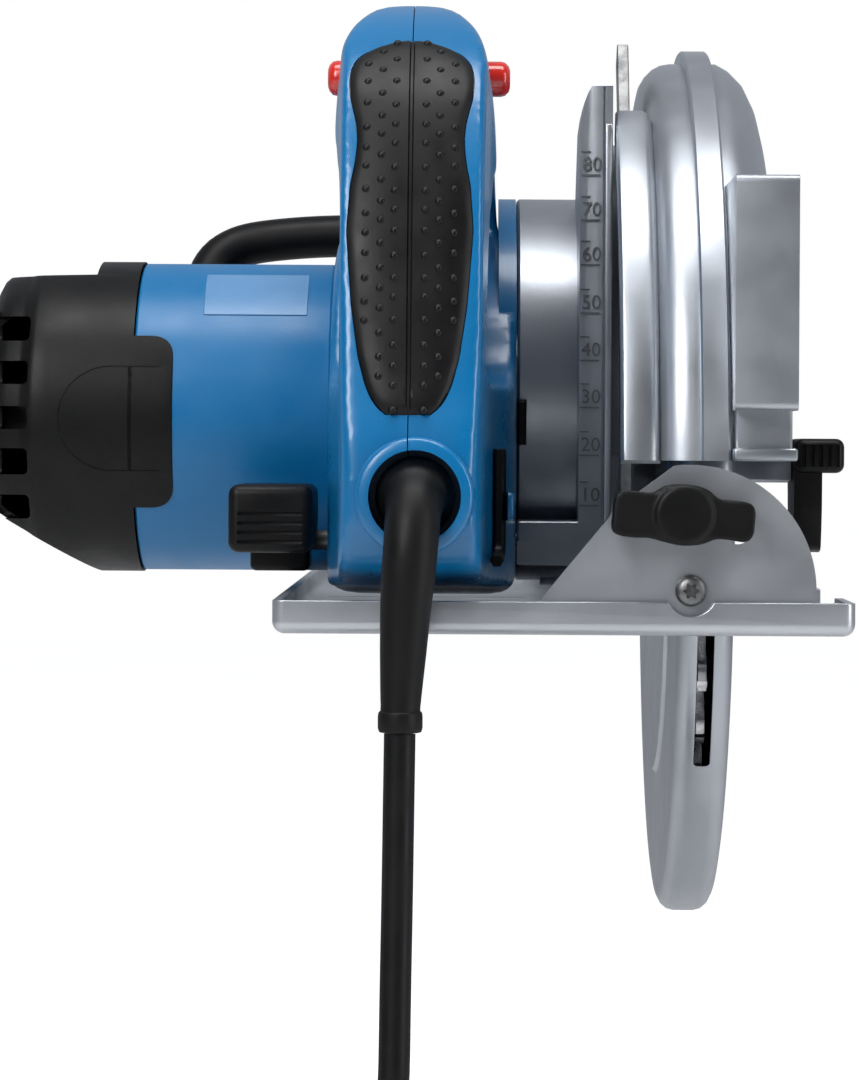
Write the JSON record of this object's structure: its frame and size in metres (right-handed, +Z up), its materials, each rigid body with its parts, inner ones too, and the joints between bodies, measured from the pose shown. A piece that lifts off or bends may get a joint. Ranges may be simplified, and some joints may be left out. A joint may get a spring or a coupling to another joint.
{
  "type": "circular saw",
  "caption": "Corded circular saw with a pivoting base plate, retracting lower guard, D-handle, side motor and tied mains cord.",
  "frame": {"origin": "centre of the base plate's sole, its flat underside", "axes": "+X right seen from behind, towards the blade; +Y forward, the cutting direction; +Z up, away from the work"},
  "size_m": [0.2543, 0.4178, 0.488],
  "materials": {
    "blue": "moulded, semi-gloss",
    "black": "fine grain",
    "rubber": "soft touch",
    "cast": "satin painted die-cast",
    "steel": "machined",
    "zinc": "zinc plated",
    "copper": "enamelled windings",
    "red": "glossy",
    "brown": "moulded",
    "carbon": "pressed carbon"
  },
  "bodies": {
    "base": {"base_plate": "cast", "rear_quadrant": "cast", "front_quadrant": "cast", "rear_pivot_screw": "zinc", "front_pivot_screw": "zinc"},
    "tilt_frame": {"rear_bracket": "zinc", "front_bracket": "zinc", "depth_arc": "zinc", "depth_pivot_pin": "steel"},
    "rear_wing_bolt": {"rear_wing_bolt": "black"},
    "front_wing_bolt": {"front_wing_bolt": "black"},
    "saw_body": {"upper_guard": "cast", "gear_case": "cast", "motor_housing": "blue", "motor_cap": "black", "handle_left": "blue", "handle_right": "blue", "grip": "rubber", "handle_screw_a": "zinc", "handle_screw_b": "zinc", "front_handle": "black", "clamp_rod": "zinc", "stator": "copper", "motor_bearing_rear": "steel", "motor_bearing_front": "steel", "spindle_bearing_inner": "steel", "spindle_bearing_outer": "steel", "bearing_plate": "black", "brush_holder_top": "brown", "brush_holder_bottom": "brown", "brush_top": "carbon", "brush_bottom": "carbon", "switch": "black", "cable_clamp": "black", "cord_sleeve": "rubber", "cord_tube": "rubber", "cord_coil": "rubber", "cord_tie": "black", "plug": "black", "guard_spring": "steel"},
    "depth_lever": {"depth_lever": "black"},
    "spindle": {"spindle": "steel", "spindle_gear": "steel", "inner_flange": "steel", "outer_flange": "steel", "blade": "steel", "blade_bolt": "zinc"},
    "armature": {"armature_shaft": "steel", "armature_core": "copper", "commutator": "copper", "fan": "black"},
    "lower_guard": {"lower_guard": "cast", "guard_lever": "black"},
    "trigger": {"trigger": "black"},
    "lock_off": {"lock_off_bar": "red"},
    "spindle_lock": {"spindle_lock_button": "black"},
    "hex_key": {"hex_key": "black"}
  },
  "joints": [
    {"name": "bevel", "type": "hinge", "parent": "base", "child": "tilt_frame", "pos_m": [0.0348, 0, 0.0124], "axis": [0, 1, 0], "range_deg": [0, 45]},
    {"name": "depth", "type": "hinge", "parent": "tilt_frame", "child": "saw_body", "pos_m": [0.041, 0.15, 0.025], "axis": [-1, 0, 0], "range_deg": [0, 28]},
    {"name": "rear_wing_bolt", "type": "hinge", "parent": "tilt_frame", "child": "rear_wing_bolt", "pos_m": [0.03229, -0.1887, 0.03285], "axis": [0, 1, 0], "range_deg": [0, 90]},
    {"name": "front_wing_bolt", "type": "hinge", "parent": "tilt_frame", "child": "front_wing_bolt", "pos_m": [0.03229, 0.1767, 0.03285], "axis": [0, -1, 0], "range_deg": [0, 90]},
    {"name": "blade_spin", "type": "hinge", "parent": "saw_body", "child": "spindle", "pos_m": [0.041, -0.036, 0.035], "axis": [1, 0, 0], "continuous": true},
    {"name": "armature_spin", "type": "hinge", "parent": "saw_body", "child": "armature", "pos_m": [-0.1, -0.036, 0.0604], "axis": [1, 0, 0], "continuous": true},
    {"name": "lower_guard", "type": "hinge", "parent": "saw_body", "child": "lower_guard", "pos_m": [0.041, -0.036, 0.035], "axis": [-1, 0, 0], "range_deg": [0, 100], "stiffness_Nm_per_rad": 0.25, "springref_deg": -68.75},
    {"name": "depth_lever", "type": "hinge", "parent": "saw_body", "child": "depth_lever", "pos_m": [-0.084, -0.1, 0.0234], "axis": [-1, 0, 0], "range_deg": [0, 60]},
    {"name": "trigger", "type": "hinge", "parent": "saw_body", "child": "trigger", "pos_m": [-0.0429, -0.124, 0.154], "axis": [-1, 0, 0], "range_deg": [0, 5], "stiffness_Nm_per_rad": 0.8, "springref_deg": -5.73},
    {"name": "lock_off", "type": "slide", "parent": "saw_body", "child": "lock_off", "axis": [1, 0, 0], "range_m": [-0.003, 0.003], "stiffness_N_per_m": 500},
    {"name": "spindle_lock", "type": "slide", "parent": "saw_body", "child": "spindle_lock", "axis": [0, 1, 0], "range_m": [0, 0.004], "stiffness_N_per_m": 700, "springref_m": -0.002},
    {"name": "hex_key", "type": "slide", "parent": "saw_body", "child": "hex_key", "axis": [0, -1, 0], "range_m": [0, 0.03]}
  ],
  "couplings": [
    {"joint": "armature_spin", "follows": "blade_spin", "ratio": -5.1111}
  ]
}
